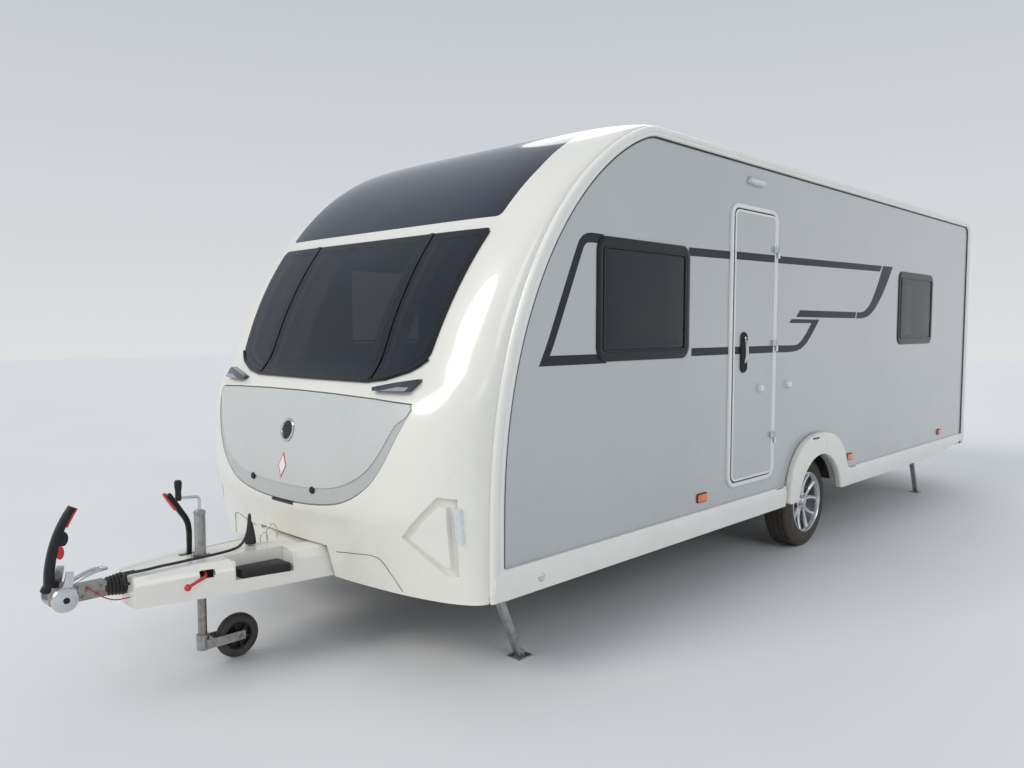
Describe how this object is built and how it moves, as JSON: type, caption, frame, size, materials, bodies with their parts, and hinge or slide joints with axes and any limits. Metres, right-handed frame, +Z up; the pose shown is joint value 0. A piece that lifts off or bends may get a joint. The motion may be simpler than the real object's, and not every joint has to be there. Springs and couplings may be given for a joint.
{
  "type": "travel caravan",
  "caption": "Towed travel caravan with curved nose, tinted windows, hinged entrance door and gas locker lid, alloy wheels, jockey wheel and folding corner steadies.",
  "frame": {"origin": "on the ground under the middle of the caravan's bounding box", "axes": "+X forward to the coupling, +Y to the entrance side, +Z up"},
  "size_m": [7.998, 2.31, 2.6223],
  "materials": {
    "plywood_floor": "matte",
    "silver_panel": "gloss",
    "cream_gloss": "gloss",
    "cream_rail": "gloss",
    "dark_gloss": "gloss",
    "tinted_pane": "gloss",
    "white_frame": "satin",
    "black_plastic": "satin",
    "locker_gloss": "gloss",
    "inner_board": "matte",
    "lens": "gloss",
    "dark_chrome": "polished",
    "white_plastic": "satin",
    "curtain_cloth": "woven",
    "galvanised": "dull",
    "cast_steel": "matte",
    "zinc_steel": "satin",
    "black_rubber": "matte",
    "red_plastic": "satin",
    "tyre_rubber": "dusty",
    "alloy": "satin",
    "cable_black": "matte",
    "cable_red": "satin"
  },
  "bodies": {
    "caravan": {"floor_panel": "plywood_floor", "side_wall_left": "silver_panel", "side_wall_right": "silver_panel", "roof_panel": "cream_gloss", "front_panel": "cream_gloss", "front_top_panel": "dark_gloss", "rear_panel": "cream_gloss", "front_windows": "tinted_pane", "side_windows": "tinted_pane", "rear_window": "tinted_pane", "awning_rails": "cream_rail", "side_skirts": "cream_rail", "wheel_arches": "cream_gloss", "door_frame": "white_frame", "gas_locker": "inner_board", "rear_bumper": "cream_gloss", "exterior_lights": "lens", "grab_handles": "dark_chrome", "roof_lights": "white_plastic", "window_curtains": "curtain_cloth", "chassis_rails": "galvanised", "drawbar_arms": "galvanised", "cross_members": "galvanised", "axle_beam": "galvanised", "suspension_arms": "cast_steel", "overrun_housing": "cast_steel", "drawbar_cover": "cream_gloss", "coupling_head": "zinc_steel", "stabiliser_handle": "black_plastic", "shaft_gaiter": "black_rubber", "handbrake_lever": "black_plastic", "jockey_clamp": "cast_steel", "clamp_lever": "red_plastic", "jockey_outer_tube": "galvanised", "steady_brackets": "galvanised", "service_boxes": "white_plastic", "tow_cable": "cable_black", "tow_plug": "black_plastic", "breakaway_cable": "cable_red"},
    "wheel_left": {"tyre_left": "tyre_rubber", "wheel_rim_left": "alloy"},
    "wheel_right": {"tyre_right": "tyre_rubber", "wheel_rim_right": "alloy"},
    "door": {"entrance_door": "silver_panel", "door_handle": "black_plastic"},
    "locker_lid": {"locker_door": "locker_gloss"},
    "jockey_tube": {"jockey_inner_tube": "zinc_steel"},
    "jockey_caster": {"jockey_fork": "galvanised"},
    "jockey_roller": {"jockey_wheel": "black_rubber"},
    "steady_fl": {"steady_front_left": "galvanised"},
    "steady_fr": {"steady_front_right": "galvanised"},
    "steady_rl": {"steady_rear_left": "galvanised"},
    "steady_rr": {"steady_rear_right": "galvanised"},
    "cassette_flap": {"cassette_door": "silver_panel"},
    "battery_flap": {"battery_door": "silver_panel"}
  },
  "joints": [
    {"name": "wheel_left_spin", "type": "hinge", "parent": "caravan", "child": "wheel_left", "pos_m": [-0.561, 0.9575, 0.313], "axis": [0, 1, 0], "continuous": true},
    {"name": "wheel_right_spin", "type": "hinge", "parent": "caravan", "child": "wheel_right", "pos_m": [-0.561, -0.9575, 0.313], "axis": [0, 1, 0], "continuous": true},
    {"name": "entrance_door_hinge", "type": "hinge", "parent": "caravan", "child": "door", "pos_m": [0.104, 1.129, 1.421], "axis": [0, 0, 1], "range_deg": [0, 165]},
    {"name": "locker_door_hinge", "type": "hinge", "parent": "caravan", "child": "locker_lid", "pos_m": [2.79588, 0, 1.24643], "axis": [0, -1, 0], "range_deg": [0, 75]},
    {"name": "jockey_slide", "type": "slide", "parent": "caravan", "child": "jockey_tube", "axis": [0, 0, 1], "range_m": [0, 0.15]},
    {"name": "jockey_swivel", "type": "hinge", "parent": "jockey_tube", "child": "jockey_caster", "pos_m": [3.344, 0, 0.11], "axis": [0, 0, 1], "continuous": true},
    {"name": "jockey_wheel_spin", "type": "hinge", "parent": "jockey_caster", "child": "jockey_roller", "pos_m": [3.179, 0, 0.102], "axis": [0, 1, 0], "continuous": true},
    {"name": "steady_front_left_swing", "type": "hinge", "parent": "caravan", "child": "steady_fl", "pos_m": [2.409, 0.95, 0.33], "axis": [0, 1, 0], "range_deg": [0, 60]},
    {"name": "steady_front_right_swing", "type": "hinge", "parent": "caravan", "child": "steady_fr", "pos_m": [2.409, -0.95, 0.33], "axis": [0, 1, 0], "range_deg": [0, 60]},
    {"name": "steady_rear_left_swing", "type": "hinge", "parent": "caravan", "child": "steady_rl", "pos_m": [-2.971, 0.95, 0.33], "axis": [0, 1, 0], "range_deg": [0, 60]},
    {"name": "steady_rear_right_swing", "type": "hinge", "parent": "caravan", "child": "steady_rr", "pos_m": [-2.971, -0.95, 0.33], "axis": [0, 1, 0], "range_deg": [0, 60]},
    {"name": "cassette_door_hinge", "type": "hinge", "parent": "caravan", "child": "cassette_flap", "pos_m": [-1.901, -1.111, 0.508], "axis": [1, 0, 0], "range_deg": [0, 90]},
    {"name": "battery_door_hinge", "type": "hinge", "parent": "caravan", "child": "battery_flap", "pos_m": [0.579, -1.111, 0.508], "axis": [1, 0, 0], "range_deg": [0, 90]}
  ]
}
